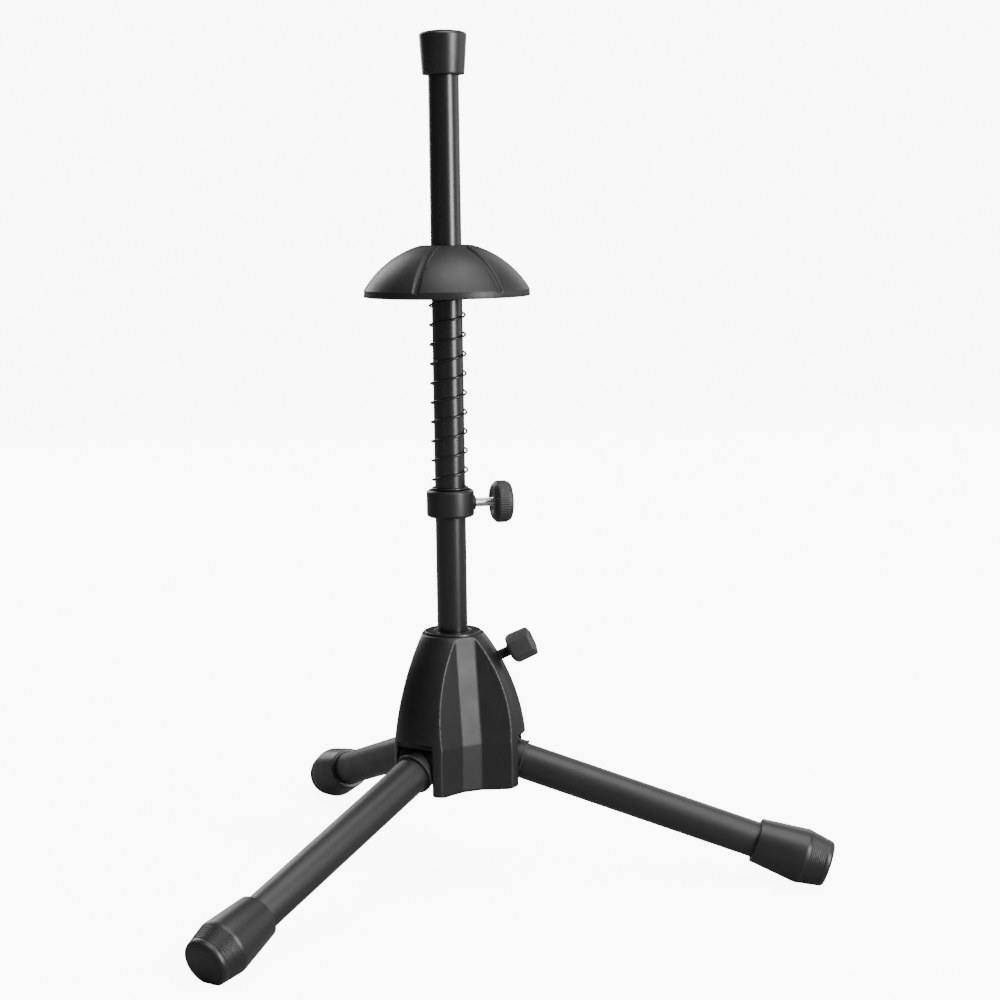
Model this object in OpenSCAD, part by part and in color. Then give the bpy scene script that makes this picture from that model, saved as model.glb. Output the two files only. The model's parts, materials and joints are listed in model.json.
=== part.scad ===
// Folding tripod stand for a trumpet. The instrument's bell hangs upside down over the
// upright shaft: the rubber tip goes up its throat and the sprung dome centres its rim.
// Frame: +Z up, floor at z = 0, one leg straight back along +Y, origin at the middle of
// the footprint's bounding box.

/* [Shaft] */
// Outer diameter of the upright shaft
shaft_d = 16; // [15.4:0.1:16.4]
// Wall of the shaft tube
shaft_wall = 1.5; // [1:0.1:2]
// Height of the shaft's lower end above the floor
shaft_bottom = 58; // [56:0.5:60]
// Height of the shaft's upper end, inside the tip cap
shaft_top = 439; // [436:0.5:440]

/* [Tip cap] */
// Height of the cap's lower edge
cap_bottom = 424.6; // [422:0.2:427]
// Diameter of the cap at its lower edge
cap_low_d = 22; // [20:0.2:23]
// Diameter of the cap at its upper edge
cap_high_d = 24.8; // [24:0.2:26]
// Height of the top of the cap's crown
cap_top = 447.4; // [446:0.2:449]

/* [Bell dome] */
// Diameter over the dome's rim
dome_d = 86.4; // [82:0.5:90]
// Height where the dome's curved face meets its rim
dome_rim_z = 315.2; // [314:0.2:317]
// Height of the dome's flat top
dome_top_z = 338; // [336:0.2:340]
// Thickness of the dome's shell
dome_wall = 2.4; // [2:0.1:3]
// Number of grooves that divide the dome into segments
dome_grooves = 6; // [4:1:8]
// Width of each groove
groove_w = 2.8; // [2:0.1:4]

/* [Spring] */
// Diameter of the spring's wire
wire_d = 1.1; // [0.9:0.1:1.4]
// Diameter of the coil, wire centre to wire centre
coil_d = 18.5; // [18.2:0.1:19]
// Rise of the coil in one turn
coil_pitch = 9.87; // [8:0.1:12]

/* [Collar] */
// Outer diameter of the collar
collar_d = 25; // [24.5:0.1:26]
// Height of the collar's lower face
collar_z = 196.2; // [190:0.5:200]
// Length of the collar along the shaft
collar_h = 14.4; // [13.5:0.1:15.5]
// Bearing of the collar's thumb screw around the shaft
collar_turn = -12; // [-15:1:-8]

/* [Hub] */
// Height of the hub's lower edge
hub_bottom = 53; // [51:0.5:54]
// Height of the hub's flat top
hub_top = 134.2; // [133:0.1:135]
// Reach of each leg housing from the shaft's axis
hub_reach = 38.6; // [38:0.1:39.5]
// Radius of each leg housing's outer arc, seen from the side
hub_arc = 104; // [100:1:108]
// Radius of each leg housing, seen from above
sleeve_r = 22; // [21:0.5:24]
// Distance of the valley floors from the shaft's axis
valley_r = 23.6; // [23:0.1:24.5]
// Width of the flat strip at the bottom of each valley
valley_w = 10.8; // [9:0.2:12]
// Flare of the facets beside the strip
valley_flare = 22; // [20:1:24]
// Inward lean of the valleys above their crease
valley_lean = 7.5; // [6:0.5:8.5]

/* [Legs] */
// Outer diameter of the leg tubes
leg_d = 19; // [18.6:0.1:19.4]
// Wall of the leg tubes
leg_wall = 1.2; // [1:0.1:1.6]
// Slope of the spread legs below the horizontal
leg_slope = 18.8; // [18.6:0.1:19]
// Distance of the hinge pins from the shaft's axis
pivot_r = 24; // [23.5:0.1:24.5]
// Height of the hinge pins
pivot_z = 69.2; // [69:0.1:69.6]
// Distance from the hinge pin to the mouth of the leg's socket
socket_end = 13.4; // [13:0.1:15]
// Distance from the hinge pin to the mouth of the boot
boot_start = 143.6; // [140:0.2:146]
// Distance from the hinge pin to the boot's end face
boot_end = 183.8; // [183:0.2:185]
// Diameter of the hinge pins
pin_d = 5; // [4.5:0.1:5.5]

/* [Screws] */
// Diameter of the hub's lock screw
hub_screw_d = 5.8; // [5.5:0.1:6]
// Rise of the hub's lock screw above the horizontal
hub_screw_tilt = 25; // [24:1:27]
// Height where the hub's lock screw meets the shaft
hub_screw_z = 114.2; // [113:0.2:115]
// Diameter of the collar's thumb screw
collar_screw_d = 4.8; // [4.5:0.1:5]
// Diameter of the collar's knob
collar_knob_d = 22.3; // [20:0.1:23]

/* [Hidden] */

$fn = 96;
// Small overlap that makes a cut run past a face
past = 1;
// Running clearance on a radius
fit = 0.08;
// Clear gap between pieces of different bodies
gap = 0.3;

// Bearings of the three legs around the shaft
right_leg = -30;
left_leg = -150;
back_leg = 90;
leg_turns = [right_leg, left_leg, back_leg];

shaft_r = shaft_d / 2;
leg_r = leg_d / 2;
pin_r = pin_d / 2;

// Boot: mouth, widest point and end
boot_mouth_r = 11.8;
boot_max_r = 14.7;
boot_end_r = 12.2;
boot_wide = boot_start + 25.8;
boot_round = 1.2;
// Solid rubber between the tube's end and the boot's end face
boot_sole = 5;
boot_ribs = 8;
rib_pitch = 1.35;
rib_depth = 0.35;

// The shaft stands behind the middle of the bounding box by this much
foot_reach = pivot_r + boot_end * cos(leg_slope) + boot_end_r * sin(leg_slope);
shaft_y = boot_end_r * cos(30) / 2 - foot_reach / 4;

// Leg housing arc: its centre lies across the shaft's axis, on the height where the side turns in
arc_z = 70;
arc_mid_r = hub_arc - sleeve_r;
arc_centre = hub_reach - hub_arc;
hub_h = hub_top - hub_bottom;
core_r = 15.6;
crease_z = 78;
valley_reach = 40;
corner_r = 5;
// Half the angle that one leg housing spans around the shaft, a little over a third of a turn
housing_half = 66;
// Turn of the arc, far enough to pass the flat top
arc_turn = 52;

// Leg slot inside the hub
slot_half_w = 11.3;
slot_inner_r = 12.7;
slot_top = 80.7;
stop_from = 29.5;
stop_to = 34.5;
socket_r = 11;
pocket_depth = 3;
groove_neck = 4.4;
barrel_r = socket_r - 0.2;
sleeve_out_r = socket_r - 0.4;
tube_seat = 5;
pin_half_l = slot_half_w + pocket_depth;
// Height of a socket's upper line above the pivot, straight up from the pivot
socket_line = socket_r / cos(leg_slope);

// Hub bush
bush_r = 10;
bush_low = 100;
bush_flange_r = 15.2;
bush_flange_h = 1.3;
hub_bore_r = bush_r;

// Hub lock screw, measured along its own axis from the shaft's surface
tip_gap = 0.15;
hub_knob_from = 25;
hub_knob_l = 12.6;
hub_knob_w = 16;
knob_socket_l = 6;
hub_insert_r = 4.5;
hub_insert_from = 5;
hub_insert_l = 11;
screw_fit = 0.1;

// Collar thumb screw, measured along its own axis from the shaft's axis
collar_screw_z = collar_z + 6.8;
collar_knob_from = 22.6;
collar_knob_l = 9.6;
collar_insert_r = 3.9;
collar_insert_from = 9;
collar_insert_to = 13.4;
collar_chamfer = 1;

// Dome: boss that slides on the shaft, and the seat for the spring's upper end
boss_r = 11.6;
boss_bottom = 325;
dome_lip_h = 3.6;
dome_flat_r = 13.6;
dome_arc_h = dome_top_z - dome_rim_z;
dome_r = dome_d / 2;
// The curved face is part of a sphere: its centre's depth below the flat top, and its radius
dome_centre = (pow(dome_r, 2) - pow(dome_flat_r, 2) + pow(dome_arc_h, 2)) / (2 * dome_arc_h);
dome_sphere_r = sqrt(pow(dome_centre, 2) + pow(dome_flat_r, 2));
dome_steps = 14;
groove_depth = 1;

// Spring from the collar's top to the boss
spring_from = collar_z + collar_h + 0.8;
spring_to = boss_bottom - 0.8;
spring_turns = (spring_to - spring_from) / coil_pitch;
spring_steps = 24;
spring_sides = 8;

// Puts a child on the shaft's axis
module on_shaft() {
    translate([0, shaft_y, 0])
        children();
}

// Puts a child, drawn with X along the leg and the hinge pin at its origin, at one leg
module at_leg(turn) {
    on_shaft()
        rotate([0, 0, turn])
            translate([pivot_r, 0, pivot_z])
                rotate([0, leg_slope, 0])
                    children();
}

// Puts a child, drawn along +Z from the shaft's surface, on the hub screw's axis
module at_hub_screw() {
    on_shaft()
        rotate([0, 0, right_leg])
            translate([shaft_r, 0, hub_screw_z])
                rotate([0, 90 - hub_screw_tilt, 0])
                    children();
}

// Puts a child, drawn along +Z from the shaft's axis, on the collar screw's axis
module at_collar_screw() {
    on_shaft()
        translate([0, 0, collar_screw_z])
            rotate([0, 90, collar_turn])
                children();
}

// One leg housing, kept to its own side of the hub: an upright sleeve that bends in
// towards the top along an arc
module leg_housing() {
    side_x = hub_arc * cos(housing_half);
    side_y = hub_arc * sin(housing_half);
    intersection() {
        translate([0, 0, hub_bottom])
            linear_extrude(height = hub_h + past)
                polygon([[0, 0], [side_x, -side_y], [side_x, side_y]]);
        union() {
            translate([hub_reach - sleeve_r, 0, hub_bottom])
                cylinder(r = sleeve_r, h = arc_z - hub_bottom);
            translate([arc_centre, 0, arc_z])
                rotate([90, 0, 0])
                    rotate_extrude(angle = arc_turn)
                        translate([arc_mid_r, 0])
                            circle(r = sleeve_r);
        }
    }
}

// Round envelope of the whole hub: it trims the housings at the top and rounds their lower edge
module hub_envelope() {
    rotate_extrude() {
        intersection() {
            translate([0, arc_z])
                square([hub_reach, hub_top - arc_z]);
            translate([arc_centre, arc_z])
                circle(r = hub_arc, $fn = 360);
        }
        translate([0, hub_bottom + corner_r])
            square([hub_reach, arc_z - hub_bottom - corner_r]);
        translate([0, hub_bottom])
            square([hub_reach - corner_r, corner_r + past]);
        translate([hub_reach - corner_r, hub_bottom + corner_r])
            circle(r = corner_r);
    }
}

// Plan of the space outside one valley: a flat strip with a flared facet on each side
module valley_plan() {
    half = valley_w / 2;
    rise = valley_reach * tan(valley_flare);
    polygon([
        [0, -half],
        [0, half],
        [rise, half + valley_reach],
        [rise + valley_reach, half + valley_reach],
        [rise + valley_reach, -half - valley_reach],
        [rise, -half - valley_reach]
    ]);
}

// Cut of one valley: upright below the crease and leaning in above it
module valley_cut() {
    translate([valley_r, 0, hub_bottom - past])
        linear_extrude(height = hub_h + 2 * past)
            valley_plan();
    translate([valley_r, 0, crease_z])
        rotate([0, -valley_lean, 0])
            linear_extrude(height = hub_h)
                valley_plan();
}

// Slot for one leg, open downwards and outwards, with a stop rib in its roof
module leg_slot() {
    stop_high = pivot_z + socket_line - (stop_from - pivot_r) * tan(leg_slope) + gap;
    stop_low = pivot_z + socket_line - (stop_to - pivot_r) * tan(leg_slope) + gap;
    rotate([90, 0, 0])
        translate([0, 0, -slot_half_w])
            linear_extrude(height = 2 * slot_half_w)
                polygon([
                    [slot_inner_r, hub_bottom - past],
                    [slot_inner_r, slot_top],
                    [stop_from, slot_top],
                    [stop_from, stop_high],
                    [stop_to, stop_low],
                    [stop_to, slot_top],
                    [hub_reach + past, slot_top],
                    [hub_reach + past, hub_bottom - past]
                ]);
    translate([pivot_r, pin_half_l, pivot_z])
        rotate([90, 0, 0])
            cylinder(r = pin_r, h = 2 * pin_half_l);
    translate([pivot_r - groove_neck / 2, -pin_half_l, hub_bottom - past])
        cube([groove_neck, 2 * pin_half_l, pivot_z - hub_bottom + past]);
}

module hub_housing() {
    color([0.09, 0.09, 0.1])
        difference() {
            on_shaft()
                difference() {
                    intersection() {
                        union() {
                            for (turn = leg_turns)
                                rotate([0, 0, turn])
                                    leg_housing();
                            translate([0, 0, hub_bottom])
                                cylinder(r = core_r, h = hub_h + past);
                        }
                        hub_envelope();
                    }
                    for (turn = leg_turns)
                        rotate([0, 0, turn + 60])
                            valley_cut();
                    for (turn = leg_turns)
                        rotate([0, 0, turn])
                            leg_slot();
                    translate([0, 0, hub_bottom - past])
                        cylinder(r = hub_bore_r, h = hub_h + 2 * past);
                }
            at_hub_screw()
                cylinder(r = hub_screw_d / 2 + screw_fit, h = hub_knob_from);
            at_hub_screw()
                cylinder(r = hub_insert_r, h = hub_insert_from + hub_insert_l);
        }
}

// Liner that guides the shaft, with a flange that closes the top of the hub
module hub_bush() {
    color([0.14, 0.14, 0.15])
        difference() {
            on_shaft()
                rotate_extrude()
                    polygon([
                        [shaft_r + fit, bush_low],
                        [bush_r, bush_low],
                        [bush_r, hub_top],
                        [bush_flange_r, hub_top],
                        [bush_flange_r - 0.4, hub_top + bush_flange_h],
                        [shaft_r + 1.4, hub_top + bush_flange_h],
                        [shaft_r + fit, hub_top + bush_flange_h - 0.6]
                    ]);
            at_hub_screw()
                cylinder(r = hub_insert_r, h = hub_insert_from + hub_insert_l);
        }
}

module hub_screw_insert() {
    color([0.72, 0.58, 0.3])
        at_hub_screw()
            translate([0, 0, hub_insert_from])
                difference() {
                    cylinder(r = hub_insert_r, h = hub_insert_l);
                    translate([0, 0, -past])
                        cylinder(r = hub_screw_d / 2 + screw_fit, h = hub_insert_l + 2 * past);
                }
}

module leg_pin(turn) {
    color([0.75, 0.75, 0.77])
        on_shaft()
            rotate([0, 0, turn])
                translate([pivot_r, pin_half_l, pivot_z])
                    rotate([90, 0, 0])
                        cylinder(r = pin_r, h = 2 * pin_half_l);
}

// Moulded socket: a hinge barrel that runs into a round sleeve with a raised rim
module leg_socket(turn) {
    socket_half_w = slot_half_w - gap;
    rim_l = 1.2;
    color([0.12, 0.12, 0.13])
        at_leg(turn)
            difference() {
                union() {
                    translate([0, socket_half_w, 0])
                        rotate([90, 0, 0])
                            cylinder(r = barrel_r, h = 2 * socket_half_w);
                    rotate([0, 90, 0])
                        cylinder(r = sleeve_out_r, h = socket_end);
                    translate([socket_end - rim_l, 0, 0])
                        rotate([0, 90, 0])
                            cylinder(r = socket_r, h = rim_l);
                }
                translate([0, socket_half_w + past, 0])
                    rotate([90, 0, 0])
                        cylinder(r = pin_r + fit, h = 2 * (socket_half_w + past));
                translate([tube_seat, 0, 0])
                    rotate([0, 90, 0])
                        cylinder(r = leg_r, h = socket_end);
            }
}

module leg_tube(turn) {
    tube_l = boot_end - boot_sole - tube_seat;
    color([0.16, 0.16, 0.17])
        at_leg(turn)
            translate([tube_seat, 0, 0])
                rotate([0, 90, 0])
                    difference() {
                        cylinder(r = leg_r, h = tube_l);
                        translate([0, 0, -past])
                            cylinder(r = leg_r - leg_wall, h = tube_l + 2 * past);
                    }
}

// Half outline of the boot: a flare, then a ribbed taper to a rounded end
function boot_rib_points() = [
    for (i = [0 : boot_ribs - 1])
        let (
            at = boot_wide + 1.2 + i * rib_pitch,
            taper = (boot_max_r - boot_end_r) / (boot_end - boot_wide),
            r = boot_max_r - (at - boot_wide) * taper
        )
        each [[r, at], [r - rib_depth, at + 0.3], [r - rib_depth, at + 0.6], [r - 0.16, at + 0.9]]
];

module leg_boot(turn) {
    floor_cut = 40;
    seat_l = boot_end - boot_sole - boot_start;
    inner_step = boot_start + 6;
    color([0.1, 0.1, 0.1])
        difference() {
            at_leg(turn)
                rotate([0, 90, 0])
                    difference() {
                        rotate_extrude()
                            polygon(concat(
                                [
                                    [0, inner_step],
                                    [leg_r, inner_step],
                                    [leg_r, boot_start],
                                    [boot_mouth_r - 0.5, boot_start],
                                    [boot_mouth_r, boot_start + 0.5],
                                    [boot_max_r - 0.3, boot_wide - 0.8],
                                    [boot_max_r, boot_wide]
                                ],
                                boot_rib_points(),
                                [
                                    [boot_end_r + 0.1, boot_end - boot_round],
                                    [boot_end_r - 0.3, boot_end - 0.4],
                                    [boot_end_r - boot_round, boot_end],
                                    [0, boot_end]
                                ]
                            ));
                        translate([0, 0, boot_start - past])
                            cylinder(r = leg_r, h = seat_l + past);
                    }
            translate([-foot_reach - floor_cut, -foot_reach - floor_cut, -floor_cut])
                cube([2 * (foot_reach + floor_cut), 2 * (foot_reach + floor_cut), floor_cut]);
        }
}

module shaft_tube() {
    color([0.13, 0.13, 0.14])
        on_shaft()
            translate([0, 0, shaft_bottom])
                difference() {
                    cylinder(r = shaft_r, h = shaft_top - shaft_bottom);
                    translate([0, 0, -past])
                        cylinder(r = shaft_r - shaft_wall, h = shaft_top - shaft_bottom + 2 * past);
                }
}

// Plug in the shaft's lower end, whose flange keeps the shaft in the hub
module shaft_plug() {
    flange_h = 3;
    spigot_h = 10;
    color([0.2, 0.2, 0.2])
        on_shaft()
            rotate_extrude()
                polygon([
                    [0, shaft_bottom - flange_h],
                    [bush_r - 1.4, shaft_bottom - flange_h],
                    [bush_r - 0.4, shaft_bottom - flange_h + 1],
                    [bush_r - 0.4, shaft_bottom],
                    [shaft_r - shaft_wall, shaft_bottom],
                    [shaft_r - shaft_wall, shaft_bottom + spigot_h],
                    [0, shaft_bottom + spigot_h]
                ]);
}

// Rubber tip: a cone that widens upwards to a softly crowned top
module tip_cap() {
    edge = 0.9;
    low_r = cap_low_d / 2;
    high_r = cap_high_d / 2;
    shoulder = cap_top - 2.4;
    color([0.1, 0.1, 0.1])
        on_shaft()
            difference() {
                rotate_extrude()
                    polygon([
                        [0, cap_bottom],
                        [low_r - 0.5, cap_bottom],
                        [low_r, cap_bottom + 0.5],
                        [high_r, shoulder],
                        [high_r - 0.25, shoulder + edge * 0.7],
                        [high_r - edge, shoulder + edge],
                        [high_r * 0.75, cap_top - 0.75],
                        [high_r * 0.45, cap_top - 0.25],
                        [0, cap_top]
                    ]);
                translate([0, 0, cap_bottom - past])
                    cylinder(r = shaft_r, h = shaft_top - cap_bottom + past);
            }
}

module collar_ring() {
    collar_r = collar_d / 2;
    top = collar_z + collar_h;
    bore_r = shaft_r + fit;
    color([0.12, 0.12, 0.13])
        difference() {
            on_shaft()
                rotate_extrude()
                    polygon([
                        [bore_r, collar_z],
                        [collar_r - collar_chamfer, collar_z],
                        [collar_r, collar_z + collar_chamfer],
                        [collar_r, top - collar_chamfer],
                        [collar_r - collar_chamfer, top],
                        [bore_r, top]
                    ]);
            at_collar_screw()
                cylinder(r = collar_screw_d / 2 + screw_fit, h = collar_r + past);
            at_collar_screw()
                translate([0, 0, collar_insert_from])
                    cylinder(r = collar_insert_r, h = collar_r);
        }
}

module collar_screw_insert() {
    color([0.2, 0.2, 0.21])
        at_collar_screw()
            translate([0, 0, collar_insert_from])
                difference() {
                    cylinder(r = collar_insert_r, h = collar_insert_to - collar_insert_from);
                    translate([0, 0, -past])
                        cylinder(r = collar_screw_d / 2 + screw_fit, h = collar_insert_to);
                }
}

// Height of the dome's outer face at a distance from the axis
function dome_z(r) = dome_top_z - dome_centre + sqrt(pow(dome_sphere_r, 2) - pow(r, 2));

// Points along the dome's face, from its flat top to its rim, moved in towards the sphere's centre
function dome_curve(inset) = [
    for (i = [0 : dome_steps])
        let (
            r = dome_flat_r + (dome_r - dome_flat_r) * i / dome_steps,
            shrink = 1 - inset / dome_sphere_r,
            centre_z = dome_top_z - dome_centre
        )
        [r * shrink, centre_z + (dome_z(r) - centre_z) * shrink]
];

function backwards(list) = [for (i = [len(list) - 1 : -1 : 0]) list[i]];

module bell_dome() {
    bore_r = shaft_r + 0.3;
    color([0.1, 0.1, 0.1])
        on_shaft()
            difference() {
                rotate_extrude()
                    polygon(concat(
                        [[bore_r, dome_top_z]],
                        dome_curve(0),
                        [
                            [dome_r, dome_rim_z - dome_lip_h + 0.6],
                            [dome_r - 0.6, dome_rim_z - dome_lip_h],
                            [dome_r - dome_wall, dome_rim_z - dome_lip_h]
                        ],
                        backwards(dome_curve(dome_wall)),
                        [
                            [boss_r, dome_top_z - dome_wall - 0.4],
                            [boss_r, boss_bottom],
                            [bore_r, boss_bottom]
                        ]
                    ));
                for (i = [0 : dome_grooves - 1])
                    rotate([0, 0, 45 + i * 360 / dome_grooves])
                        rotate([90, 0, 0])
                            translate([0, 0, -groove_w / 2])
                                linear_extrude(height = groove_w)
                                    polygon(concat(
                                        dome_curve(groove_depth),
                                        [[dome_r + past, dome_rim_z], [dome_r + past, dome_top_z + past]],
                                        [[dome_flat_r - 1, dome_top_z + past]]
                                    ));
            }
}

// Ring of points around the wire at a turn count
function coil_ring(t) = [
    for (j = [0 : spring_sides - 1])
        let (
            a = 360 * j / spring_sides,
            r = coil_d / 2 + wire_d / 2 * cos(a)
        )
        [r * cos(360 * t), r * sin(360 * t), spring_from + coil_pitch * t + wire_d / 2 * sin(a)]
];

// Light open coil that lies loosely round the shaft
module bell_spring() {
    rings = ceil(spring_turns * spring_steps);
    points = [
        for (i = [0 : rings])
            each coil_ring(i * spring_turns / rings)
    ];
    sides = [
        for (i = [0 : rings - 1])
            for (j = [0 : spring_sides - 1])
                let (
                    a = i * spring_sides + j,
                    b = i * spring_sides + (j + 1) % spring_sides
                )
                [a, a + spring_sides, b + spring_sides, b]
    ];
    low_end = [for (j = [0 : spring_sides - 1]) j];
    high_end = [for (j = [spring_sides - 1 : -1 : 0]) rings * spring_sides + j];
    color([0.3, 0.3, 0.32])
        on_shaft()
            polyhedron(points = points, faces = concat(sides, [low_end, high_end]), convexity = 10);
}

// Black threaded rod whose blunt point presses on the shaft at a slant
module hub_screw() {
    rod_r = hub_screw_d / 2;
    slant = tan(hub_screw_tilt);
    color([0.08, 0.08, 0.08])
        at_hub_screw()
            rotate_extrude()
                polygon([
                    [0, tip_gap],
                    [rod_r * 0.3, rod_r * 0.3 * slant + tip_gap],
                    [rod_r * 0.7, rod_r * 0.7 * slant + tip_gap],
                    [rod_r, rod_r * slant + 3 * tip_gap],
                    [rod_r, hub_knob_from + knob_socket_l],
                    [0, hub_knob_from + knob_socket_l]
                ]);
}

// Faceted hand knob, a little narrower towards its outer end
module hub_knob() {
    knob_step = 1.4;
    color([0.3, 0.3, 0.31])
        at_hub_screw()
            translate([0, 0, hub_knob_from])
                difference() {
                    union() {
                        cylinder(d = hub_knob_w, h = hub_knob_l - knob_step, $fn = 6);
                        translate([0, 0, hub_knob_l - knob_step])
                            cylinder(d = hub_knob_w - 2, h = knob_step, $fn = 6);
                    }
                    translate([0, 0, -past])
                        cylinder(r = hub_screw_d / 2, h = knob_socket_l + past);
                }
}

// Bright threaded rod with a dog point that presses on the shaft
module collar_screw() {
    tip = shaft_r + tip_gap;
    end = collar_knob_from + knob_socket_l;
    color([0.85, 0.85, 0.86])
        at_collar_screw()
            rotate_extrude()
                polygon([
                    [0, tip],
                    [collar_screw_d / 2 - 0.8, tip],
                    [collar_screw_d / 2, tip + 0.8],
                    [collar_screw_d / 2, end],
                    [0, end]
                ]);
}

// Round barrel knob with a dished inner face
module collar_knob() {
    knob_r = collar_knob_d / 2;
    dish = collar_knob_from + 0.8;
    end = collar_knob_from + collar_knob_l;
    color([0.25, 0.25, 0.26])
        at_collar_screw()
            rotate_extrude()
                polygon([
                    [collar_screw_d / 2, dish],
                    [knob_r * 0.45, dish],
                    [knob_r * 0.68, collar_knob_from],
                    [knob_r * 0.86, dish],
                    [knob_r, collar_knob_from + 2.4],
                    [knob_r, end - 3],
                    [knob_r * 0.95, end - 1],
                    [knob_r * 0.8, end],
                    [0, end],
                    [0, collar_knob_from + knob_socket_l],
                    [collar_screw_d / 2, collar_knob_from + knob_socket_l]
                ]);
}

hub_housing();
hub_bush();
hub_screw_insert();
leg_pin(right_leg);  // leg_pin_right
leg_pin(left_leg);  // leg_pin_left
leg_pin(back_leg);  // leg_pin_back
leg_socket(right_leg);  // leg_socket_right
leg_tube(right_leg);  // leg_tube_right
leg_boot(right_leg);  // leg_boot_right
leg_socket(left_leg);  // leg_socket_left
leg_tube(left_leg);  // leg_tube_left
leg_boot(left_leg);  // leg_boot_left
leg_socket(back_leg);  // leg_socket_back
leg_tube(back_leg);  // leg_tube_back
leg_boot(back_leg);  // leg_boot_back
shaft_tube();
shaft_plug();
tip_cap();
collar_ring();
collar_screw_insert();
bell_spring();
bell_dome();
hub_screw();
hub_knob();
collar_screw();
collar_knob();
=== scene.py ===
"""Studio model of a folding trumpet stand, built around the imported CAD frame.

The turned pieces, the spring, the screws and the knobs are meshes made here at the places of their CAD nodes. The
hub is its CAD shape remeshed, and the leg sockets are their CAD nodes with softened edges. The scene is in metres.
Outlines, and the sizes that the pieces are made from, are in millimetres.
"""
import json
import math

import bmesh
import bpy
from mathutils import Matrix, Vector


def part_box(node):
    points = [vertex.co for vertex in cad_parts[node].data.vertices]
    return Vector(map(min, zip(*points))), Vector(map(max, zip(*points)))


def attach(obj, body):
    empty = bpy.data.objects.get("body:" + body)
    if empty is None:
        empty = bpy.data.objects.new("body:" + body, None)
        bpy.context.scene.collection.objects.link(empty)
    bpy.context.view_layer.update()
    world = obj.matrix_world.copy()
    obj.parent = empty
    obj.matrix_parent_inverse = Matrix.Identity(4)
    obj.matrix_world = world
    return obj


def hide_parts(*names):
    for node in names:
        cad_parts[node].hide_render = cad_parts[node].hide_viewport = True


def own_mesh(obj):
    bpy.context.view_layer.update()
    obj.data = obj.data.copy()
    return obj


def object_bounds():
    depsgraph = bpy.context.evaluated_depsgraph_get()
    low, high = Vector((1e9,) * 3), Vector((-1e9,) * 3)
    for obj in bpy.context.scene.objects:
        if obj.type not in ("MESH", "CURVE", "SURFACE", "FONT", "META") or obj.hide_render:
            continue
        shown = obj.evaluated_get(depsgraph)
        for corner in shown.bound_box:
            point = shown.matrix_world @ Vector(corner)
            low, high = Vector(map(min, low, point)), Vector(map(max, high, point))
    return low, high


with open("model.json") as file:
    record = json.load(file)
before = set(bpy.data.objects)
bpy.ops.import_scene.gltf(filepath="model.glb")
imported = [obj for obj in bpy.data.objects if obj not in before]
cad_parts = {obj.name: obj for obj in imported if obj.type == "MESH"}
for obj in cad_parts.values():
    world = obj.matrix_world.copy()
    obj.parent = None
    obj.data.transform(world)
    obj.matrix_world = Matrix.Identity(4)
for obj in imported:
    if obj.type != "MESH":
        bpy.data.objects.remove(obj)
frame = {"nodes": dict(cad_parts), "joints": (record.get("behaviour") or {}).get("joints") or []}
cad_low, cad_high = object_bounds()
NODES = frame["nodes"]
JOINTS = {joint["name"]: joint for joint in frame["joints"]}

MM = 0.001
UP = Vector((0, 0, 1))
SIDES = ("right", "left", "back")

# In mm: the bore that runs on the shaft, the radius of a leg, and the radius below which a ring is a single point
RUNNING_BORE = 8.08
LEG_TUBE_R = 9.5
AT_AXIS = 1e-6


# ---------------------------------------------------------------- places from the frame

def middle(node):
    low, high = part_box(node)
    return (low + high) / 2


def heights(node):
    """A node's lowest and highest points, in mm."""
    low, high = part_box(node)
    return low.z / MM, high.z / MM


def half_width(node):
    """Half of a node's size from left to right, in mm."""
    low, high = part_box(node)
    return (high.x - low.x) / 2 / MM


def joint_place(name):
    """A joint's point and its axis, both in the scene's frame."""
    joint = JOINTS[name]
    return Vector(joint.get("pos_m", (0, 0, 0))), Vector(joint["axis"]).normalized()


shaft_mid = middle("shaft_tube")
AXIS_X, AXIS_Y = shaft_mid.x, shaft_mid.y


def on_shaft(z):
    return Vector((AXIS_X, AXIS_Y, z))


def frame_along(origin, z_axis, x_hint):
    """A matrix whose Z runs along z_axis and whose X leans towards x_hint."""
    z = z_axis.normalized()
    y = z.cross(x_hint).normalized()
    x = y.cross(z)
    rotation = Matrix((x, y, z)).transposed().to_4x4()
    return Matrix.Translation(origin) @ rotation


# ---------------------------------------------------------------- mesh helpers

def new_object(name, bm, place=None):
    """Turns a bmesh into a smooth-shaded object and moves its mesh to a place."""
    bmesh.ops.recalc_face_normals(bm, faces=bm.faces)
    if place is not None:
        bm.transform(place)
    mesh = bpy.data.meshes.new(name)
    bm.to_mesh(mesh)
    bm.free()
    for polygon in mesh.polygons:
        polygon.use_smooth = True
    piece = bpy.data.objects.new(name, mesh)
    bpy.context.scene.collection.objects.link(piece)
    return piece


def rounded(points, radius, steps=4):
    """Rounds the corners of a list of (r, z) points. A third number on a point is its own radius."""
    most_of_side = 0.48
    result = []
    count = len(points)
    for i, point in enumerate(points):
        here = Vector(point[:2])
        own = point[2] if len(point) > 2 else radius
        if i in (0, count - 1) or own <= 0:
            result.append(tuple(here))
            continue
        before = Vector(points[i - 1][:2]) - here
        after = Vector(points[i + 1][:2]) - here
        reach = min(own, before.length * most_of_side, after.length * most_of_side)
        start = here + before.normalized() * reach
        end = here + after.normalized() * reach
        for k in range(steps + 1):
            t = k / steps
            bend = start * (1 - t) ** 2 + here * 2 * t * (1 - t) + end * t * t
            result.append(tuple(bend))
    return result


def tube_outline(inner, outer, start, end, corner):
    """The outline of a straight tube, or of a solid rod where the inner radius is 0."""
    return rounded([(inner, start), (outer, start), (outer, end), (inner, end)], corner)


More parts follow.
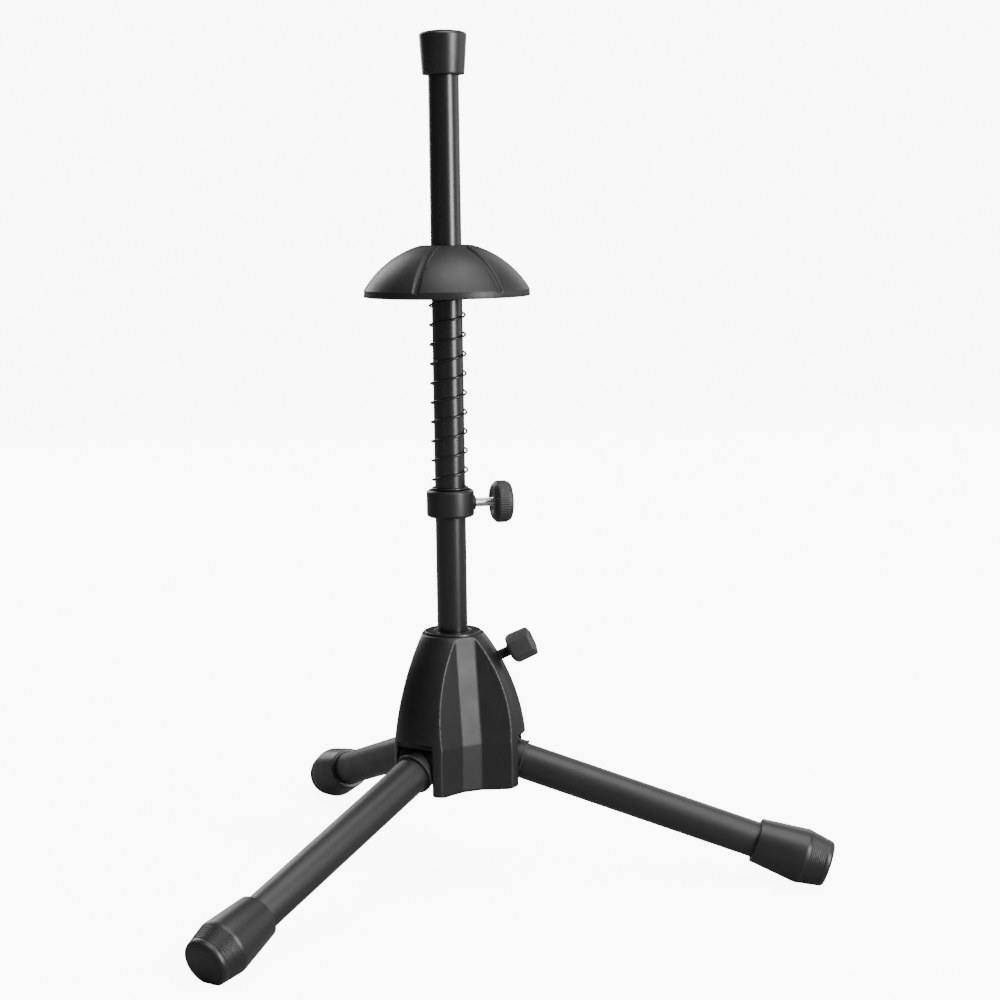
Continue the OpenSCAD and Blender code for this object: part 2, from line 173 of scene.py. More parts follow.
def lathe(name, points_mm, place, segments=96, closed=False, shape=None):
    """Turns an outline of (r, z) points round Z. shape may change each (r, angle, z) in mm."""
    bm = bmesh.new()
    rings = []
    for r, z in points_mm:
        if r < AT_AXIS:
            rings.append([bm.verts.new((0, 0, z * MM))])
            continue
        ring = []
        for k in range(segments):
            angle = 2 * math.pi * k / segments
            rr, zz = shape(r, angle, z) if shape else (r, z)
            ring.append(bm.verts.new((rr * MM * math.cos(angle), rr * MM * math.sin(angle), zz * MM)))
        rings.append(ring)
    pairs = list(zip(rings, rings[1:]))
    if closed:
        pairs.append((rings[-1], rings[0]))
    for low, high in pairs:
        for k in range(segments):
            n = (k + 1) % segments
            corners = [low[k % len(low)], low[n % len(low)], high[n % len(high)], high[k % len(high)]]
            unique = []
            for corner in corners:
                if corner not in unique:
                    unique.append(corner)
            if len(unique) > 2:
                bm.faces.new(unique)
    return new_object(name, bm, place)


def skin_rings(bm, rings):
    """Joins rings of equal counts into a closed skin with flat ends."""
    count = len(rings[0])
    for low, high in zip(rings, rings[1:]):
        for k in range(count):
            n = (k + 1) % count
            bm.faces.new((low[k], low[n], high[n], high[k]))
    bm.faces.new(list(reversed(rings[0])))
    bm.faces.new(rings[-1])


def thread_rod(name, radius_mm, pitch_mm, depth_mm, z_from, z_to, place, segments=40, tip_mm=1.0):
    """A rod with a helical thread, closed at both ends and narrowed towards its first end."""
    steps_per_turn = 10
    flank = 1.4
    tip_slope = 0.7
    rows = int((z_to - z_from) / pitch_mm * steps_per_turn)
    bm = bmesh.new()
    rings = []
    for i in range(rows + 1):
        z = z_from + (z_to - z_from) * i / rows
        ring = []
        for k in range(segments):
            angle = 2 * math.pi * k / segments
            phase = (z / pitch_mm - angle / (2 * math.pi)) % 1.0
            groove = depth_mm * (0.5 + 0.5 * math.cos(2 * math.pi * phase)) ** flank
            taper = max(0.0, tip_mm - (z - z_from)) * tip_slope
            r = (radius_mm - groove - taper) * MM
            ring.append(bm.verts.new((r * math.cos(angle), r * math.sin(angle), z * MM)))
        rings.append(ring)
    skin_rings(bm, rings)
    return new_object(name, bm, place)


def apply_modifiers(piece):
    """Turns a piece's modifiers into its mesh."""
    bpy.context.view_layer.update()
    depsgraph = bpy.context.evaluated_depsgraph_get()
    mesh = bpy.data.meshes.new_from_object(piece.evaluated_get(depsgraph))
    piece.modifiers.clear()
    piece.data = mesh
    for polygon in mesh.polygons:
        polygon.use_smooth = True


def finish_piece(piece, body, material, slot, *nodes):
    """Gives a piece its material and its body, and hides the CAD nodes that it stands for."""
    piece.data.materials.clear()
    piece.data.materials.append(material)
    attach(piece, body)
    if nodes:
        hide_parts(*nodes)
    return piece


# ---------------------------------------------------------------- materials

class Nodes:
    """A small helper that builds one material's node tree."""

    def __init__(self, name):
        self.material = bpy.data.materials.new(name)
        self.material.use_nodes = True
        self.tree = self.material.node_tree
        self.shader = self.tree.nodes["Principled BSDF"]
        self.where = self.add("ShaderNodeTexCoord").outputs["Object"]

    def add(self, kind, **settings):
        made = self.tree.nodes.new(kind)
        for key, value in settings.items():
            setattr(made, key, value)
        return made

    def link(self, source, target):
        self.tree.links.new(source, target)

    def noise(self, scale, detail=4.0, rough=0.55, stretch=(1, 1, 1)):
        mapping = self.add("ShaderNodeMapping")
        mapping.inputs["Scale"].default_value = stretch
        self.link(self.where, mapping.inputs["Vector"])
        noise = self.add("ShaderNodeTexNoise")
        noise.inputs["Scale"].default_value = scale
        noise.inputs["Detail"].default_value = detail
        noise.inputs["Roughness"].default_value = rough
        self.link(mapping.outputs["Vector"], noise.inputs["Vector"])
        return noise.outputs["Fac"]

    def span(self, value, from_low, from_high, to_low, to_high):
        ranged = self.add("ShaderNodeMapRange")
        ranged.inputs["From Min"].default_value = from_low
        ranged.inputs["From Max"].default_value = from_high
        ranged.inputs["To Min"].default_value = to_low
        ranged.inputs["To Max"].default_value = to_high
        self.link(value, ranged.inputs["Value"])
        return ranged.outputs["Result"]

    def blend(self, fac, low, high):
        """Mixes two colours by a value. Each colour is three numbers or another node's output."""
        mix = self.add("ShaderNodeMix", data_type="RGBA")
        self.link(fac, mix.inputs["Factor"])
        for socket, value in ((mix.inputs["A"], low), (mix.inputs["B"], high)):
            if isinstance(value, tuple):
                socket.default_value = (*value, 1)
            else:
                self.link(value, socket)
        return mix.outputs["Result"]

    def edges(self, low, high):
        """How far the surface is an edge, from how sharply it bends."""
        geometry = self.add("ShaderNodeNewGeometry")
        return self.span(geometry.outputs["Pointiness"], low, high, 0, 1)

    def bump(self, height, strength, distance, before=None):
        bump = self.add("ShaderNodeBump")
        bump.inputs["Strength"].default_value = strength
        bump.inputs["Distance"].default_value = distance
        self.link(height, bump.inputs["Height"])
        if before is not None:
            self.link(before, bump.inputs["Normal"])
        return bump.outputs["Normal"]

    def set(self, **constants):
        names = {"metallic": "Metallic", "ior": "IOR", "coat": "Coat Weight", "coat_rough": "Coat Roughness",
                 "specular": "Specular IOR Level", "sheen": "Sheen Weight", "sheen_rough": "Sheen Roughness"}
        for key, value in constants.items():
            self.shader.inputs[names[key]].default_value = value


def surface(name, dark, light, rough, grain, grain_depth, edge=None, smudge=0.05, patch=9.0, stretch=(1, 1, 1),
            **constants):
    """A fine-grained surface: patchy colour, a painted highlight on sharp edges, grain in the bump, and smudged
    gloss.
    """
    edge_highlight_from, edge_highlight_to = 0.53, 0.6
    tree = Nodes(name)
    patches = tree.noise(patch, 5.0, 0.6)
    colour = tree.blend(tree.span(patches, 0.3, 0.7, 0, 1), dark, light)
    # Where an edge colour is given, sharp edges are lightened: a painted highlight where ridges catch the light,
    # which also stands for edge wear.
    if edge is not None:
        colour = tree.blend(tree.edges(edge_highlight_from, edge_highlight_to), colour, edge)
    tree.link(colour, tree.shader.inputs["Base Color"])
    gloss = tree.noise(patch * 7, 6.0, 0.7, stretch)
    tree.link(tree.span(gloss, 0.25, 0.75, rough - smudge, rough + smudge), tree.shader.inputs["Roughness"])
    fine = tree.bump(tree.noise(grain, 3.0, 0.5, stretch), 0.5, grain_depth)
    broad = tree.bump(tree.noise(grain * 0.12, 2.0, 0.5), 0.2, grain_depth * 2, fine)
    tree.link(broad, tree.shader.inputs["Normal"])
    tree.set(**constants)
    return tree.material


def make_materials():
    return {
        # After the grain depth, a material may give its painted edge highlight: the lighter colour on its sharp
        # edges.
        "hub": surface("hub_plastic", (0.004, 0.004, 0.0042), (0.006, 0.006, 0.0063), 0.42, 2600, 0.00004,
                       (0.035, 0.035, 0.036), specular=0.4),
        "bush": surface("bush_plastic", (0.007, 0.007, 0.0073), (0.011, 0.011, 0.0114), 0.34, 2200, 0.00003,
                        (0.03, 0.03, 0.03), specular=0.4),
        "socket": surface("socket_plastic", (0.006, 0.006, 0.0062), (0.009, 0.009, 0.0093), 0.45, 2400, 0.00004,
                          (0.02, 0.02, 0.02), specular=0.3),
        "paint": surface("shaft_enamel", (0.0045, 0.0047, 0.005), (0.006, 0.0062, 0.0066), 0.3, 1500, 0.00002,
                         stretch=(1, 1, 0.15), coat=0.2, coat_rough=0.22, specular=0.45),
        "powder": surface("leg_powder_coat", (0.008, 0.008, 0.0083), (0.012, 0.012, 0.0124), 0.44, 1900, 0.00006,
                          coat=0.05, coat_rough=0.35, specular=0.38),
        "rubber": surface("boot_rubber", (0.008, 0.008, 0.0082), (0.012, 0.012, 0.0122), 0.38, 2400, 0.00004,
                          sheen=0.03, sheen_rough=0.5, specular=0.35),
        "tip": surface("tip_rubber", (0.005, 0.005, 0.0052), (0.008, 0.008, 0.0082), 0.36, 2400, 0.00004,
                       specular=0.5),
        "dome": surface("dome_plastic", (0.008, 0.008, 0.0083), (0.0105, 0.0105, 0.0108), 0.46, 2600, 0.00003,
                        (0.035, 0.035, 0.035), specular=0.4),
        "collar": surface("collar_plastic", (0.007, 0.007, 0.0074), (0.01, 0.01, 0.0105), 0.38, 2400, 0.00004,
                          (0.03, 0.03, 0.03), specular=0.4),
        "knob": surface("hub_knob_plastic", (0.024, 0.024, 0.0246), (0.034, 0.034, 0.0348), 0.55, 2000, 0.00006,
                        (0.07, 0.07, 0.07), specular=0.35),
        "barrel": surface("collar_knob_plastic", (0.01, 0.01, 0.0103), (0.015, 0.015, 0.0154), 0.5, 2200, 0.00005,
                          (0.06, 0.06, 0.06)),
        "black_steel": surface("black_thread_steel", (0.006, 0.006, 0.006), (0.01, 0.01, 0.01), 0.4, 3000, 0.00003,
                               (0.05, 0.05, 0.05), metallic=0.4),
        "spring": surface("spring_wire", (0.03, 0.03, 0.031), (0.05, 0.05, 0.052), 0.32, 3000, 0.00002,
                          stretch=(1, 1, 4), metallic=0.8),
        "chrome": surface("chrome_thread", (0.74, 0.74, 0.76), (0.84, 0.84, 0.85), 0.12, 3000, 0.00001,
                          metallic=1.0),
        "steel": surface("pin_steel", (0.45, 0.45, 0.46), (0.56, 0.56, 0.57), 0.26, 2000, 0.00002,
                         stretch=(1, 1, 0.1), metallic=1.0),
        "brass": surface("insert_brass", (0.6, 0.45, 0.2), (0.7, 0.54, 0.27), 0.3, 2000, 0.00002, metallic=1.0),
        "floor": floor_surface(),
    }


def floor_surface():
    """White paper: bright to look at, and dim in reflections, so the black parts keep their depth."""
    in_reflections = (0.22, 0.22, 0.22)
    glow_when_seen = 9
    tree = Nodes("studio_floor")
    seen = tree.add("ShaderNodeLightPath").outputs["Is Camera Ray"]
    grain = tree.noise(40, 3.0, 0.5)
    paper = tree.blend(tree.span(grain, 0.3, 0.7, 0, 1), (0.93, 0.93, 0.93), (0.95, 0.95, 0.95))
    tree.link(tree.blend(seen, in_reflections, paper), tree.shader.inputs["Base Color"])
    tree.link(paper, tree.shader.inputs["Emission Color"])
    tree.link(tree.span(seen, 0, 1, 0, glow_when_seen), tree.shader.inputs["Emission Strength"])
    tree.shader.inputs["Roughness"].default_value = 0.9
    tree.set(specular=0.0)
    return tree.material


# ---------------------------------------------------------------- camera, light and floor

# The camera stands left of the front, below the stand's top, and looks slightly down. Lengths in m, lens in mm
VIEW_TURN = math.radians(-23.26)
VIEW_DISTANCE = 1.1435
VIEW_HEIGHT = 0.3608
VIEW_PAN = 0.0228
VIEW_PITCH = -0.1359
VIEW_ROLL = -0.0137
VIEW_LENS = 79.0

# The height that the lamps face, the floor's radius, and the background's strength in reflections and as seen
AIM_HEIGHT = 0.22
FLOOR_RADIUS = 300
WORLD_LIGHT = 0.12
WORLD_WHEN_SEEN = 9.3


def make_camera():
    """The camera, turned about the shaft, then panned, pitched and rolled in place. Angles in radians."""
    turn = Matrix.Rotation(VIEW_TURN, 3, "Z")
    forward = turn @ Vector((math.sin(VIEW_PAN) * math.cos(VIEW_PITCH),
                             math.cos(VIEW_PAN) * math.cos(VIEW_PITCH), math.sin(VIEW_PITCH)))
    level = turn @ Vector((math.cos(VIEW_PAN), -math.sin(VIEW_PAN), 0))
    above = level.cross(forward)
    right = level * math.cos(VIEW_ROLL) + above * math.sin(VIEW_ROLL)
    top = above * math.cos(VIEW_ROLL) - level * math.sin(VIEW_ROLL)
    data = bpy.data.cameras.new("camera")
    data.lens = VIEW_LENS
    data.sensor_width = 36
    data.clip_start = 0.05
    camera = bpy.data.objects.new("camera", data)
    rotation = Matrix((right, top, -forward)).transposed().to_4x4()
    place = on_shaft(VIEW_HEIGHT) + turn @ Vector((0, -VIEW_DISTANCE, 0))
    camera.matrix_world = Matrix.Translation(place) @ rotation
    bpy.context.scene.collection.objects.link(camera)
    bpy.context.scene.camera = camera


def make_lamp(name, azimuth, elevation, distance, width, height, watts, mirrored=True):
    """A soft box that faces the middle of the stand. Azimuth is measured from the camera's side, to the right."""
    aim = on_shaft(AIM_HEIGHT)
    bearing = VIEW_TURN - math.pi / 2 + math.radians(azimuth)
    rise = math.radians(elevation)
    offset = Vector((math.cos(bearing) * math.cos(rise), math.sin(bearing) * math.cos(rise), math.sin(rise)))
    data = bpy.data.lights.new(name, "AREA")
    data.shape = "RECTANGLE"
    data.size = width
    data.size_y = height
    data.energy = watts
    lamp = bpy.data.objects.new(name, data)
    lamp.location = aim + offset * distance
    lamp.rotation_euler = (-offset).to_track_quat("-Z", "Y").to_euler()
    lamp.visible_glossy = mirrored
    bpy.context.scene.collection.objects.link(lamp)


def make_studio(materials):
    """Soft boxes, an overhead sun, the background and the floor. The background is bright only when seen directly."""
    make_lamp("key_box", 50, 15, 1.9, 0.56, 1.6, 70)
    make_lamp("side_box", 106, 14, 2.2, 1.5, 1.5, 11)
    make_lamp("back_left_box", -150, 24, 2.2, 0.7, 1.4, 20)
    make_lamp("back_right_box", 152, 20, 2.4, 1.0, 1.4, 9)
    make_lamp("top_box", 20, 72, 1.8, 1.4, 1.4, 10)
    make_lamp("fill_box", -38, 4, 2.4, 0.9, 0.5, 18, False)
    data = bpy.data.lights.new("overhead", "SUN")
    data.energy = 2.4
    data.angle = math.radians(50)
    overhead = bpy.data.objects.new("overhead", data)
    overhead.rotation_euler = (math.radians(8), math.radians(10), 0)
    bpy.context.scene.collection.objects.link(overhead)

    world = bpy.data.worlds.new("studio")
    world.use_nodes = True
    tree = world.node_tree
    background = tree.nodes["Background"]
    background.inputs["Color"].default_value = (1, 1, 1, 1)
    seen = tree.nodes.new("ShaderNodeLightPath")
    strength = tree.nodes.new("ShaderNodeMapRange")
    strength.inputs["To Min"].default_value = WORLD_LIGHT
    strength.inputs["To Max"].default_value = WORLD_WHEN_SEEN
    tree.links.new(seen.outputs["Is Camera Ray"], strength.inputs["Value"])
    tree.links.new(strength.outputs["Result"], background.inputs["Strength"])
    bpy.context.scene.world = world
    bm = bmesh.new()
    bmesh.ops.create_circle(bm, cap_ends=True, segments=128, radius=FLOOR_RADIUS)
    floor = new_object("studio_floor", bm, Matrix.Translation(Vector((AXIS_X, AXIS_Y, cad_low.z))))
    floor.data.materials.append(materials["floor"])


# ---------------------------------------------------------------- hub

def make_hub(material):
    """The moulded hub: the CAD shape remeshed, so that its edges are rounded as a moulding's are."""
    piece = bpy.data.objects.new("hub_shell", NODES["hub_housing"].data.copy())
    bpy.context.scene.collection.objects.link(piece)
    remesh = piece.modifiers.new("even", "REMESH")
    remesh.mode = "VOXEL"
    remesh.voxel_size = 0.5 * MM
    remesh.use_smooth_shade = True
    smooth = piece.modifiers.new("round", "SMOOTH")
    smooth.factor = 0.5
    smooth.iterations = 4
    reduce = piece.modifiers.new("reduce", "DECIMATE")
    reduce.ratio = 0.45
    apply_modifiers(piece)
    finish_piece(piece, "hub", material, "hub_housing", "hub_housing")


def make_bush(material):
    """The bush that lines the hub, with a flange whose face has a shallow groove round it."""
    bottom, top = heights("hub_bush")
    flange_r = half_width("hub_bush")
    liner_r = 9.95
    seat = heights("hub_housing")[1] + 0.02
    outline = rounded([
        (RUNNING_BORE, bottom),
        (liner_r, bottom),
        (liner_r, seat),
        (flange_r, seat),
        (flange_r - 0.3, top, 0.5),
        (RUNNING_BORE + 2.0, top, 0.3),
        (RUNNING_BORE + 1.5, top - 0.5, 0.3),
        (RUNNING_BORE + 0.5, top - 0.1, 0.3),
        (RUNNING_BORE, top - 0.7),
    ], 0.12)
    bush = lathe("hub_bush_ring", outline, Matrix.Translation(on_shaft(0)), closed=True)
    finish_piece(bush, "hub", material, "hub_bush", "hub_bush")


def make_hub_insert(material):
    inner, outer, start, end = 3.05, 4.4, 5, 15.9
    point, axis = joint_place("hub_screw_turn")
    outline = tube_outline(inner, outer, start, end, 0.2)
    insert = lathe("hub_insert", outline, frame_along(point, axis, UP), 64, True)
    finish_piece(insert, "hub", material, "hub_screw_insert", "hub_screw_insert")


def make_pin(side, material):
    """The pin that a leg folds about."""
    pin_r, half_length = 2.47, 14.25
    pivot, tangent = joint_place(side + "_leg_fold")
    outline = tube_outline(0, pin_r, -half_length, half_length, 0.4)
    pin = lathe("hinge_pin_" + side, outline, frame_along(pivot, tangent, UP), 48)
    finish_piece(pin, "hub", material, "leg_pin", "leg_pin_" + side)


# ---------------------------------------------------------------- legs

def leg_frame(side):
    """Origin at the hinge pin, Z along the leg and X towards its upper side."""
    pivot = joint_place(side + "_leg_fold")[0]
    along = (middle("leg_tube_" + side) - pivot).normalized()
    return frame_along(pivot, along, UP)


def cut_at_floor(piece):
    """Cuts a mesh flat where the part rests, and closes the cut."""
    bm = bmesh.new()
    bm.from_mesh(piece.data)
    cut = bmesh.ops.bisect_plane(bm, geom=bm.verts[:] + bm.edges[:] + bm.faces[:], dist=1e-7,
                                 plane_co=(0, 0, cad_low.z), plane_no=(0, 0, -1), clear_outer=True)
    loop = [item for item in cut["geom_cut"] if isinstance(item, bmesh.types.BMEdge)]
    flat = bmesh.ops.contextual_create(bm, geom=loop)["faces"]
    for face in bm.faces:
        face.smooth = True
    for face in flat:
        face.smooth = False
        for edge in face.edges:
            edge.smooth = False
    bm.to_mesh(piece.data)
    bm.free()


def make_boot(side, material):
    """A double cone with fine ribs on its outer half and a raised round end, cut flat where it stands."""
    start, wide, end = 143.6, 169.4, 183.8
    mouth_r, wide_r, end_r = 11.75, 14.68, 12.2
    seat_depth = 6
    ribs = 9
    rib_pitch = 1.05
    rib_r = 14.66
    first_rib = wide + 1.6
    taper = (14.7 - end_r) / (end - wide)
    outline = rounded([(0, start + seat_depth), (LEG_TUBE_R, start + seat_depth), (LEG_TUBE_R, start, 0.3),
                       (mouth_r, start, 0.6), (wide_r, wide, 1.6), (14.3, first_rib)], 0.2, 6)[:-1]
    for i in range(ribs):
        at = first_rib + i * rib_pitch
        top = rib_r - (at - wide) * taper
        for step, depth in ((0, 0), (0.2, 0.03), (0.42, 0.2), (0.6, 0.2), (0.8, 0.03)):
            outline.append((top - depth - step * taper, at + step * rib_pitch))

    # These rings come first in the outline. They are a cone from the last rib to the axis, hidden inside the boot
    rings = 12
    rib, axis = outline[-1], outline[0]
    outline[:0] = [(rib[0] + (axis[0] - rib[0]) * k / rings, rib[1] + (axis[1] - rib[1]) * k / rings)
                   for k in range(1, rings)]
    face_r = end_r - 1.5
    outline += rounded([(end_r + 0.4, end - 2.4), (end_r, end - 0.9, 0.7), (end_r - 1.1, end, 0.9), (face_r, end),
                        (face_r - 0.25, end - 0.3, 0.1), (face_r - 0.6, end - 0.02, 0.2), (0, end)], 0.3, 5)
    boot = lathe("boot_" + side, outline, leg_frame(side), 160)
    cut_at_floor(boot)
    finish_piece(boot, side + "_leg", material, "leg_boot", "leg_boot_" + side)


def make_leg(side, materials):
    """A leg's tube and boot, and its socket, which is the CAD node with softened edges."""
    inner, start, end = 8.3, 5.1, 178.6
    outline = tube_outline(inner, LEG_TUBE_R, start, end, 0.25)
    tube = lathe("leg_" + side, outline, leg_frame(side), 128, True)
    finish_piece(tube, side + "_leg", materials["powder"], "leg_tube", "leg_tube_" + side)

    socket = NODES["leg_socket_" + side]
    socket.data.materials.clear()
    socket.data.materials.append(materials["socket"])
    soft = socket.modifiers.new("soft_edges", "BEVEL")
    soft.width = 0.25 * MM
    soft.segments = 3
    soft.limit_method = "ANGLE"
    soft.angle_limit = math.radians(40)
    make_boot(side, materials["rubber"])


# ---------------------------------------------------------------- shaft, cap and plug

def make_shaft(material):
    inner, outer = 6.5, 8
    bottom, top = heights("shaft_tube")
    tube = lathe("shaft", tube_outline(inner, outer, bottom, top, 0.3), Matrix.Translation(on_shaft(0)), 160, True)
    finish_piece(tube, "shaft", material, "shaft_tube", "shaft_tube")


def make_cap(material):
    """The rubber tip: a cone that widens upwards to a crowned top, with a bore that sits on the shaft."""
    seat_r, foot_r, wide_r = 8, 10.9, 12.35
    seat_depth = 14
    bottom, top = heights("tip_cap")
    outline = rounded([
        (seat_r, bottom, 0), (foot_r, bottom, 0.9), (wide_r, top - 2.3, 0.9), (11.3, top - 1.3, 0.8),
        (9.2, top - 0.75, 2), (5.5, top - 0.2, 3), (0, top),
    ], 0.8, 5)
    cap = lathe("tip", [(seat_r, bottom + seat_depth)] + outline, Matrix.Translation(on_shaft(0)), 128)
    finish_piece(cap, "shaft", material, "tip_cap", "tip_cap")


def make_plug(material):
    """The plug in the shaft's lower end, whose flange is wider than the bush's bore."""
    flange_r, flange_h, stem_r = 9.55, 3, 6.45
    bottom, top = heights("shaft_plug")
    outline = rounded([
        (0, bottom), (8.6, bottom, 0.5), (flange_r, bottom + 1, 0.5), (flange_r, bottom + flange_h),
        (stem_r, bottom + flange_h), (stem_r, top, 0.4), (0, top),
    ], 0.2)
    plug = lathe("shaft_end_plug", outline, Matrix.Translation(on_shaft(0)), 96)
    finish_piece(plug, "shaft", material, "shaft_plug", "shaft_plug")


# ---------------------------------------------------------------- dome and spring

def make_dome(material):
    """A domed shell with six grooves from its flat top to its rim, and a sliding boss under its middle."""
    bottom, top = heights("bell_dome")
    rim_r = half_width("bell_dome")
    flat_r, rim_z = 13.6, 315.2
    bore, boss_r, boss_z = 8.3, 11.5, 325
    wall = 2.4
    rise = top - rim_z
    centre = (rim_r ** 2 - flat_r ** 2 + rise ** 2) / (2 * rise)
    sphere = math.hypot(centre, flat_r)
    mid = top - centre

    def sphere_z(r):
        return mid + math.sqrt(max(0.0, sphere ** 2 - r ** 2))

    def curve(inset, count=40):
        """The dome's arc from the flat top to the rim, drawn in towards the sphere's middle."""
        shrink = 1 - inset / sphere
        points = []
        for i in range(count + 1):
            r = flat_r + (rim_r - flat_r) * math.sin(math.pi / 2 * i / count)
            points.append((r * shrink, mid + (sphere_z(r) - mid) * shrink))
        return points

    outer = [(bore, top - 0.4), (8.8, top - 0.05), (12.4, top), (13.1, top - 0.06)] + curve(0)
    lip = rounded([(rim_r - 0.15, rim_z - 0.6), (rim_r, rim_z - 1.6, 0.8), (rim_r, bottom + 0.1, 0.8),
                   (rim_r - 0.9, bottom, 0.6), (rim_r - wall + 0.3, bottom, 0.4), (rim_r - wall - 0.2, bottom + 1.2)],
                  0.6)
    inner = list(reversed(curve(wall)))
    boss = rounded([(boss_r + 0.1, top - wall - 0.6, 1.2), (boss_r, boss_z, 0.5), (bore + 0.1, boss_z, 0.4),
                    (bore, boss_z + 2)], 0.5)

    first_groove = math.radians(45)
    groove_gap = math.radians(60)
    groove_half, groove_depth, groove_edge = 1.5, 0.95, 0.45
    groove_start, groove_fade = flat_r - 0.8, 2.5
    skin = 0.25

    def grooved(r, angle, z):
        """Sinks the six grooves into the outer face, with soft edges."""
        if z < sphere_z(r) - skin or r < groove_start:
            return r, z
        turn = (angle - first_groove + groove_gap / 2) % groove_gap - groove_gap / 2
        off = abs(turn) * r
        share = min(1.0, max(0.0, (groove_half + groove_edge - off) / (2 * groove_edge)))
        share = share * share * (3 - 2 * share)
        fade = min(1.0, max(0.0, (r - groove_start) / groove_fade))
        shrink = 1 - groove_depth * share * fade / sphere
        return r * shrink, mid + (z - mid) * shrink

    outline = outer + lip + inner + boss
    dome = lathe("bell_rest_dome", outline, Matrix.Translation(on_shaft(0)), 720, True, grooved)
    finish_piece(dome, "dome", material, "bell_dome", "bell_dome")


def make_spring(material):
    """An open coil with a closed part-turn at each end. The dome squeezes it as it slides down; this mesh keeps one
    length.
    """
    bottom, top = heights("bell_spring")
    wire = 0.55
    coil = half_width("bell_spring") - wire
    end_gap = 0.3
    z_low, z_high = bottom + wire, top - wire - end_gap
    pitch = 9.87
    turns_less = 0.35
    open_turns = (z_high - z_low + 2 * end_gap) / pitch - turns_less
    end_turns = 0.8
    end_pitch = 0.12
    steps = 40
    count = int((open_turns + 2 * end_turns) * steps)
    path = []
    for i in range(count + 1):
        turn = i / steps - end_turns
        inside = min(max(turn, 0), open_turns)
        z = z_low + (z_high - z_low) * inside / open_turns + end_pitch * (turn - inside)
        angle = 2 * math.pi * turn
        path.append(Vector((coil * math.cos(angle), coil * math.sin(angle), z)) * MM)
    sides = 12
    bm = bmesh.new()
    rings = []
    for i, point in enumerate(path):
        ahead = path[min(i + 1, count)] - path[max(i - 1, 0)]
        outwards = Vector((point.x, point.y, 0)).normalized()
        across = ahead.normalized().cross(outwards).normalized()
        ring = []
        for k in range(sides):
            angle = 2 * math.pi * k / sides
            ring.append(bm.verts.new(point + (outwards * math.cos(angle) + across * math.sin(angle)) * wire * MM))
        rings.append(ring)
    skin_rings(bm, rings)
    spring = new_object("bell_coil_spring", bm, Matrix.Translation(on_shaft(0)))
    finish_piece(spring, "collar", material, "bell_spring", "bell_spring")
    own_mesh(spring)


# ---------------------------------------------------------------- collar and thumb screws

def make_collar(materials):
    """The collar's ring and insert, with the plated screw and the knob that turn as one."""
    bore, face_r, ring_r = 8.1, 11.4, 12.5
    bottom, top = heights("collar_ring")
    outline = rounded([
        (bore, bottom, 0), (face_r, bottom), (ring_r, bottom + 1.1), (ring_r, top - 1.1), (face_r, top),
        (9.4, top), (bore, top - 0.3, 0),
    ], 0.5, 5)
    ring = lathe("collar_body", outline, Matrix.Translation(on_shaft(0)), 160, True)
    finish_piece(ring, "collar", materials["collar"], "collar_ring", "collar_ring")

    point, axis = joint_place("collar_screw_turn")
    place = frame_along(on_shaft(point.z), axis, UP)
    inner, outer, start, end = 2.5, 3.85, 9.2, 13.2
    outline = rounded([(inner, start), (outer, start), (outer, end, 0.4), (inner, end, 0.3)], 0.2)
    insert = lathe("collar_insert", outline, place, 64, True)
    finish_piece(insert, "collar", materials["black_steel"], "collar_screw_insert", "collar_screw_insert")

    screw_r, pitch, depth, start, end, tip = 2.4, 0.8, 0.42, 8.15, 28.5, 0.8
    rod = thread_rod("collar_thread", screw_r, pitch, depth, start, end, place, tip_mm=tip)
    finish_piece(rod, "collar_thumb_screw", materials["chrome"], "collar_screw", "collar_screw")
    finish_piece(make_barrel_knob(place), "collar_thumb_screw", materials["barrel"], "collar_knob", "collar_knob")


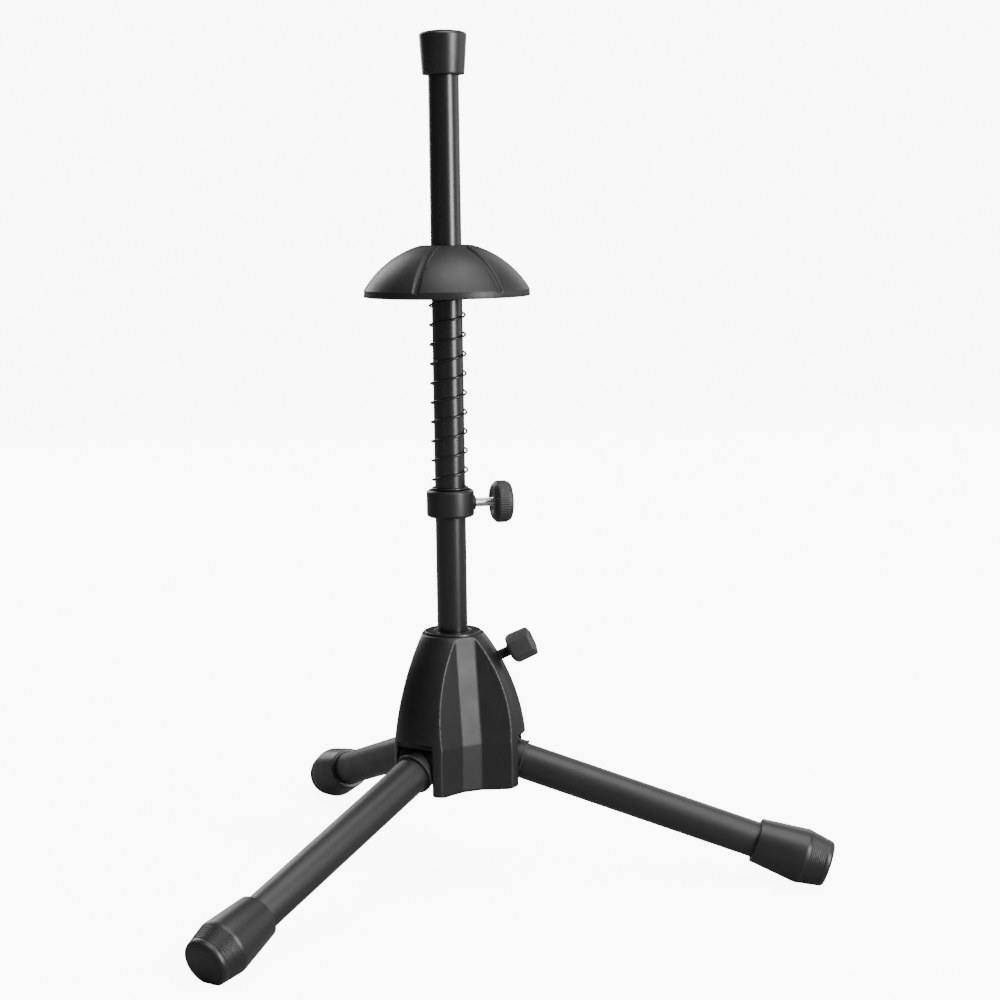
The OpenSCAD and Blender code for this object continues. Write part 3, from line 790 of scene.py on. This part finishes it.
def make_barrel_knob(place):
    """A round knob with a dished inner face, chamfered shoulders and fine knurling round its middle."""
    bottom, top = heights("collar_knob")
    knob_r = (top - bottom) / 2 - 0.03
    start, end = 22.2, 32.5
    outline = rounded([
        (2.45, start + 0.9, 0), (4.8, start + 0.9, 0.5), (6.4, start + 0.1, 0.5), (8.2, start + 0.05, 0.6),
        (9.4, start + 0.6, 0.7), (knob_r - 0.3, start + 2.3, 0.7), (knob_r, start + 2.7, 0.3),
        (knob_r, end - 2.9, 0.3), (knob_r - 0.3, end - 2.5, 0.5), (10.2, end - 0.8, 0.8),
        (8.6, end - 0.05, 0.8), (4.0, end - 0.3, 1.2), (0, end - 0.35),
    ], 0.4, 5)
    ridges, ridge_depth, ridge_fade = 56, 0.22, 0.6
    ridge_from, ridge_to = start + 2.2, end - 2.4
    shoulder_r = 10
    row_gap = 0.35

    def knurl(r, angle, z):
        inside = min(z - ridge_from, ridge_to - z)
        share = min(1.0, max(0.0, inside / ridge_fade)) if r > shoulder_r else 0
        wave = 0.5 - 0.5 * math.cos(angle * ridges)
        return r - ridge_depth * share * wave, z

    filled = []
    for one, two in zip(outline, outline[1:]):
        steps = max(1, int(abs(two[1] - one[1]) / row_gap))
        filled += [(one[0] + (two[0] - one[0]) * i / steps, one[1] + (two[1] - one[1]) * i / steps)
                   for i in range(steps)]
    return lathe("collar_hand_knob", filled + [outline[-1]], place, 448, False, knurl)


def make_hub_screw(materials):
    """The hub's black lock screw with its faceted knob, which turn as one."""
    screw_r, pitch, depth, start, end, tip = 2.88, 1.0, 0.5, 0.3, 30.5, 2.4
    point, axis = joint_place("hub_screw_turn")
    place = frame_along(point, axis, UP)
    rod = thread_rod("hub_thread", screw_r, pitch, depth, start, end, place, tip_mm=tip)
    finish_piece(rod, "hub_thumb_screw", materials["black_steel"], "hub_screw", "hub_screw")
    finish_piece(make_faceted_knob(place), "hub_thumb_screw", materials["knob"], "hub_knob", "hub_knob")


def make_faceted_knob(place):
    """A six-sided hand knob with bevelled faces and a shallow dish in its outer end."""
    start, end = 25.0, 37.6
    corner_r = 8.3
    sides = 6

    def hexagon(scale, z):
        return [Vector((scale * corner_r * math.cos(2 * math.pi * k / sides),
                        scale * corner_r * math.sin(2 * math.pi * k / sides), z)) * MM for k in range(sides)]

    bm = bmesh.new()
    levels = [(0.5, start - 0.25), (0.82, start - 0.2), (0.98, start + 1.3), (1.0, start + 3), (0.97, end - 0.7),
              (0.9, end + 0.3), (0.6, end + 0.3), (0.54, end - 0.3)]
    rings = [[bm.verts.new(corner) for corner in hexagon(scale, z)] for scale, z in levels]
    skin_rings(bm, rings)
    knob = new_object("hub_hand_knob", bm, place)
    bevel = knob.modifiers.new("soft", "BEVEL")
    bevel.width = 0.35 * MM
    bevel.segments = 4
    bevel.limit_method = "ANGLE"
    bevel.angle_limit = math.radians(8)
    apply_modifiers(knob)
    return knob


def main():
    materials = make_materials()
    make_camera()
    make_studio(materials)
    make_hub(materials["hub"])
    make_bush(materials["bush"])
    make_hub_insert(materials["brass"])
    for side in SIDES:
        make_pin(side, materials["steel"])
    for side in SIDES:
        make_leg(side, materials)
    make_shaft(materials["paint"])
    make_cap(materials["tip"])
    make_plug(materials["bush"])
    make_dome(materials["dome"])
    make_collar(materials)
    make_spring(materials["spring"])
    make_hub_screw(materials)


main()
